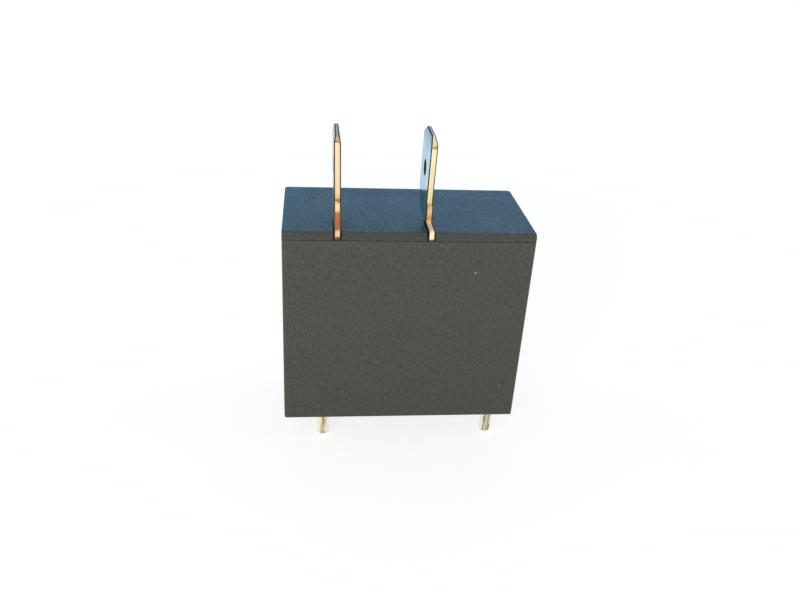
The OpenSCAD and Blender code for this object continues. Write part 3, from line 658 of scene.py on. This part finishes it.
# Winding
windingLook = {
    "wire": 0.32,  # mm; the real wire is near 0.1 mm and is drawn thicker so that single turns show
    "around": 32,  # steps in a turn
    "sides": 6,  # of the wire's section
    "outer": 0.9,  # share of the winding's radius from which a point lies on its outside
    "soft": 70,  # degrees up to which a crease is shaded softly
    "finish": {  # copper under a clear enamel, drawn and wound: warm red-brown, glossy
        "name": "enamelledCopperWire",
        "metallic": 0.9,
        "tints": {0.35: "#8c4319", 0.65: "#b9662c"},
        "patch": 3.0,
        "line": 0.3,
        "stretch": (1.0, 0.2, 0.2),
        "lineDepth": 0.005,
        "rough": (0.22, 0.34),
    },
}


def turnsTree():
    # one helix of round wire along X, joined to the layers below it
    tree = bpy.data.node_groups.new("wireTurns", "GeometryNodeTree")
    kinds = {"Layers": "Geometry", "Start": "Vector", "Length": "Float", "Radius": "Float",
             "Wire Radius": "Float", "Turns": "Float", "Steps": "Int", "Sides": "Int", "Wire": "Material"}
    sockets = {name: tree.interface.new_socket(name, in_out="INPUT", socket_type="NodeSocket" + kind)
               for name, kind in kinds.items()}
    tree.interface.new_socket("Geometry", in_out="OUTPUT", socket_type="NodeSocketGeometry")
    given = addNode(tree, "NodeGroupInput")
    helix = addNode(tree, "GeometryNodeCurveSpiral", {
        "Resolution": (given, "Steps"), "Rotations": (given, "Turns"), "Start Radius": (given, "Radius"),
        "End Radius": (given, "Radius"), "Height": (given, "Length")})
    section = addNode(tree, "GeometryNodeCurvePrimitiveCircle", {
        "Resolution": (given, "Sides"), "Radius": (given, "Wire Radius")})
    wire = addNode(tree, "GeometryNodeCurveToMesh", {
        "Curve": (helix, "Curve"), "Profile Curve": (section, "Curve"), "Fill Caps": True})
    laid = addNode(tree, "GeometryNodeTransform", {
        "Geometry": (wire, "Mesh"), "Translation": (given, "Start"),
        "Rotation": (0.0, math.radians(90), 0.0)})
    joined = addNode(tree, "GeometryNodeJoinGeometry", {"Geometry": (laid, "Geometry")})
    tree.links.new(given.outputs["Layers"], joined.inputs["Geometry"])
    real = addNode(tree, "GeometryNodeRealizeInstances", {"Geometry": (joined, "Geometry")})
    coated = addNode(tree, "GeometryNodeSetMaterial", {
        "Geometry": (real, "Geometry"), "Material": (given, "Wire")})
    addNode(tree, "NodeGroupOutput", {"Geometry": (coated, "Geometry")})
    return tree, sockets


def windCoil(look):
    low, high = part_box("winding")
    axisY, axisZ = (low.y + high.y) / 2, (low.z + high.z) / 2
    outer = (high.z - low.z) / 2
    wireRadius = look["wire"] * mm / 2
    mesh = cleanCopy("winding")
    for v in mesh.verts:  # the layers below end at the middle of the outer turns
        out = math.hypot(v.co.y - axisY, v.co.z - axisZ)
        if out > look["outer"] * outer:
            shrink = (outer - wireRadius) / out
            v.co.y = axisY + (v.co.y - axisY) * shrink
            v.co.z = axisZ + (v.co.z - axisZ) * shrink
    layers = bpy.data.meshes.new("windingLayers")
    mesh.to_mesh(layers)
    mesh.free()
    carrier = bpy.data.objects.new("windingCarrier", layers)
    scene.collection.objects.link(carrier)
    tree, sockets = turnsTree()
    modifier = carrier.modifiers.new("turns", "NODES")
    modifier.node_group = tree
    length = high.x - low.x - 2 * wireRadius
    sizes = {"Start": (low.x + wireRadius, axisY, axisZ), "Length": length, "Radius": outer - wireRadius,
             "Wire Radius": wireRadius, "Turns": length / (2 * wireRadius), "Steps": look["around"],
             "Sides": look["sides"], "Wire": unevenSkin(look["finish"])}
    for name, value in sizes.items():
        modifier[sockets[name].identifier] = value
    bpy.context.view_layer.update()
    wound = bpy.data.meshes.new_from_object(carrier.evaluated_get(bpy.context.evaluated_depsgraph_get()))
    bpy.data.objects.remove(carrier)
    wound.shade_smooth()
    wound.set_sharp_from_angle(angle=math.radians(look["soft"]))
    piece = bpy.data.objects.new("woundCoil", wound)
    scene.collection.objects.link(piece)
    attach(piece, "housing")
    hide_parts("winding")


windCoil(windingLook)
print("coil wound")

# Moving spring, cut into rings across the stretch where it bends between its anchor and the contact
springLook = {
    "cuts": 14,  # stretches into which the bend is divided
    "bendEnd": -2.2,  # mm, place along Y where the leaf is straight again
    "finish": {  # hard copper alloy, cold rolled to a thin leaf: reddish, bright, with lines along its length
        "name": "rolledCopperAlloyLeaf",
        "metallic": 1.0,
        "tints": {0.35: "#b5744a", 0.65: "#d09a6c"},
        "patch": 1.6,
        "line": 0.12,
        "stretch": (1.0, 0.06, 1.0),
        "lineDepth": 0.003,
        "rough": (0.22, 0.34),
    },
}


def bendSpring(look):
    mesh = cleanCopy("moving_spring")
    joint = next(j for j in frame["joints"] if j["name"] == "contact_flex")
    hinge = Vector(joint["pos_m"])
    end = Vector((hinge.x, look["bendEnd"] * mm, hinge.z))
    for i in range(look["cuts"] + 1):
        y = hinge.y + (end.y - hinge.y) * i / look["cuts"]
        cutAcross(mesh, (0, y, 0), (0, 1, 0))
    data = bpy.data.meshes.new("bentSpring")
    mesh.to_mesh(data)
    mesh.free()
    data.materials.append(unevenSkin(look["finish"]))
    piece = bpy.data.objects.new("bentSpring", data)
    scene.collection.objects.link(piece)
    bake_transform(piece)
    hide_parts("moving_spring")


bendSpring(springLook)
print("moving spring made")

# Pieces inside and below that keep their own solids
evenly = (1.0, 1.0, 1.0)
alongX = (0.08, 1.0, 1.0)
insideLooks = [
    # silver alloy, cold headed: white and bright
    {"nodes": ["fixed_contact", "moving_contact"], "name": "silverAlloyContact", "metallic": 1.0,
     "tints": {0.35: "#c9c7c0", 0.65: "#e2e0da"}, "patch": 0.8, "line": 0.1, "stretch": evenly,
     "lineDepth": 0.002, "rough": (0.18, 0.3)},
    # copper, cold headed: reddish, a little dulled by the tool
    {"nodes": ["spring_rivets"], "name": "headedCopperRivet", "metallic": 1.0,
     "tints": {0.35: "#a5683f", 0.65: "#c48a5f"}, "patch": 0.6, "line": 0.1, "stretch": evenly,
     "lineDepth": 0.003, "rough": (0.26, 0.4)},
    # soft iron, stamped or turned and nickel plated: neutral grey, satin
    {"nodes": ["armature", "yoke", "core", "hinge_spring_rivets"], "name": "nickelPlatedSoftIron",
     "metallic": 1.0, "tints": {0.35: "#9a9c9d", 0.65: "#b4b5b4"}, "patch": 2.5, "line": 0.14,
     "stretch": alongX, "lineDepth": 0.004, "rough": (0.24, 0.38)},
    # stainless strip, cold rolled: warm grey, with lines along its length
    {"nodes": ["hinge_spring"], "name": "rolledStainlessLeaf", "metallic": 1.0,
     "tints": {0.35: "#a8a49a", 0.65: "#c4c0b6"}, "patch": 1.5, "line": 0.1, "stretch": (0.06, 1.0, 1.0),
     "lineDepth": 0.003, "rough": (0.2, 0.32)},
    # epoxy, poured into the wells and cured: black, glossy, slightly wavy
    {"nodes": ["pin_seal_left", "pin_seal_right"], "name": "curedPottingResin", "metallic": 0.0,
     "tints": {0.3: "#121211", 0.7: "#20201e"}, "patch": 0.7, "line": 0.8, "stretch": evenly,
     "lineDepth": 0.02, "rough": (0.12, 0.22)},
    # the winding's own wire
    dict(windingLook["finish"], nodes=["coil_lead_left", "coil_lead_right"], name="enamelledCopperLead"),
    # polyamide in its natural colour, injection moulded: cream, with a soft sheen
    dict(caseLook, nodes=["card"], name="naturalPolyamideMoulded", startTint="#cfc8b4", endTint="#d6d0bd",
         cloudTint="#c4bca4", speckle=0.06, dust=[], specular=0.5, rough=(0.42, 0.54)),
    # black polyamide, injection moulded: smoother and glossier than the case
    dict(caseLook, nodes=["bobbin"], name="blackPolyamideBobbin", startTint="#2b302e", endTint="#2b302e",
         cloudTint="#343a37", speckle=0.15, dust=[], specular=0.5, rough=(0.38, 0.5)),
]


def coatInside(looks):
    for look in looks:
        material = mouldedPlastic(look) if "grain" in look else unevenSkin(look)
        for name in look["nodes"]:
            slots = frame["nodes"][name].data.materials
            slots.clear()
            slots.append(material)


coatInside(insideLooks)
print("inner pieces coated")

# Studio
studioLook = {
    "white": "#ffffff",
    "floorSize": 4.0,  # m
    "floorShown": 0.8,  # share of white that the floor shows even in shadow
    "floorFade": (0.1, 0.5),  # m from the part over which the floor turns to plain white
    "floorLit": 0.3,  # grey of the paper as it is seen, on top of the share that it always shows
    "floorBounce": 0.8,  # grey of the paper as it lights the part
    "skyStops": {0.1: "#ffffff", 0.6: "#8ca6bd"},  # from the front to the far side, as metal and gloss see it
    "ambient": "#e9eef2",
    "ambientStrength": 0.35,
    "lamps": [  # m, W
        {"name": "frontSoftbox", "at": (-0.16, -0.46, 0.16), "size": 0.42, "power": 2.0, "tint": "#fff8ee"},
        {"name": "topSoftbox", "at": (0.04, 0.34, 0.34), "size": 0.5, "power": 0.7, "tint": "#aaccec"},
        {"name": "rightFill", "at": (0.5, 0.05, 0.2), "size": 0.4, "power": 0.7, "tint": "#f4f4f2"},
        {"name": "leftFill", "at": (-0.5, 0.15, 0.2), "size": 0.4, "power": 0.7, "tint": "#f0f4f6"},
    ],
}


def seenDirectly(tree):
    # 1 for rays from the camera and for mirrored or refracted views, 0 for the light that falls on things
    path = addNode(tree, "ShaderNodeLightPath")
    glossy = addNode(tree, "ShaderNodeMath", {0: (path, "Is Camera Ray"), 1: (path, "Is Glossy Ray")},
                     operation="MAXIMUM")
    seen = addNode(tree, "ShaderNodeMath", {0: (glossy, "Value"), 1: (path, "Is Transmission Ray")},
                   operation="MAXIMUM")
    return (seen, "Value")


def whitePaper(look):
    # White paper sweep: plain white to the eye, with the part's soft shadow. For the light that it throws
    # back at the part it is an even light grey.
    material = bpy.data.materials.new("whitePaperFloor")
    material.use_nodes = True
    tree = material.node_tree
    tree.nodes.clear()
    place = addNode(tree, "ShaderNodeTexCoord")
    away = addNode(tree, "ShaderNodeVectorMath", {0: (place, "Object")}, operation="LENGTH")
    faded = addNode(tree, "ShaderNodeMapRange", {
        "Value": (away, "Value"), "From Min": look["floorFade"][0], "From Max": look["floorFade"][1],
        "To Min": look["floorShown"], "To Max": 1.0})
    shown = addNode(tree, "ShaderNodeEmission", {
        "Color": linear(look["white"]), "Strength": (faded, "Result")})
    lit = addNode(tree, "ShaderNodeBsdfDiffuse", {"Color": [look["floorLit"]] * 3 + [1.0]})
    both = addNode(tree, "ShaderNodeAddShader", {0: (shown, "Emission"), 1: (lit, "BSDF")})
    bounce = addNode(tree, "ShaderNodeBsdfDiffuse", {"Color": [look["floorBounce"]] * 3 + [1.0]})
    mix = addNode(tree, "ShaderNodeMixShader", {
        "Fac": seenDirectly(tree), 1: (bounce, "BSDF"), 2: (both, "Shader")})
    addNode(tree, "ShaderNodeOutputMaterial", {"Surface": (mix, "Shader")})
    return material


def layFloor(look):
    half = look["floorSize"] / 2
    floorZ = cadBox[0].z
    corners = [(-half, -half, floorZ), (half, -half, floorZ), (half, half, floorZ), (-half, half, floorZ)]
    data = bpy.data.meshes.new("floor")
    data.from_pydata(corners, [], [(0, 1, 2, 3)])
    data.materials.append(whitePaper(look))
    floor = bpy.data.objects.new("floor", data)
    scene.collection.objects.link(floor)


def hangLamps(look):
    aim = (cadBox[0] + cadBox[1]) / 2
    for lamp in look["lamps"]:
        data = bpy.data.lights.new(lamp["name"], "AREA")
        data.shape = "SQUARE"
        data.size = lamp["size"]
        data.energy = lamp["power"]
        data.color = linear(lamp["tint"])[:3]
        place = Vector(lamp["at"])
        turn = (aim - place).to_track_quat("-Z", "Y").to_matrix()
        light = bpy.data.objects.new(lamp["name"], data)
        light.matrix_world = Matrix.Translation(place) @ turn.to_4x4()
        light.visible_camera = False
        scene.collection.objects.link(light)


def paintWorld(look):
    world = bpy.data.worlds.new("paleStudio")
    scene.world = world
    world.use_nodes = True
    tree = world.node_tree
    tree.nodes.clear()
    direction = addNode(tree, "ShaderNodeTexCoord")
    split = addNode(tree, "ShaderNodeSeparateXYZ", {"Vector": (direction, "Generated")})
    sky = addNode(tree, "ShaderNodeValToRGB", {"Fac": (split, "Y")}, stops=look["skyStops"])
    path = addNode(tree, "ShaderNodeLightPath")
    backdrop = addNode(tree, "ShaderNodeMixRGB", {
        "Fac": (path, "Is Camera Ray"), "Color1": (sky, "Color"), "Color2": linear(look["white"])})
    shown = addNode(tree, "ShaderNodeBackground", {"Color": (backdrop, "Color"), "Strength": 1.0})
    ambient = addNode(tree, "ShaderNodeBackground", {
        "Color": linear(look["ambient"]), "Strength": look["ambientStrength"]})
    mix = addNode(tree, "ShaderNodeMixShader", {
        "Fac": seenDirectly(tree), 1: (ambient, "Background"), 2: (shown, "Background")})
    addNode(tree, "ShaderNodeOutputWorld", {"Surface": (mix, "Shader")})


layFloor(studioLook)
hangLamps(studioLook)
paintWorld(studioLook)
scene.view_settings.view_transform = "Standard"
print("studio ready")
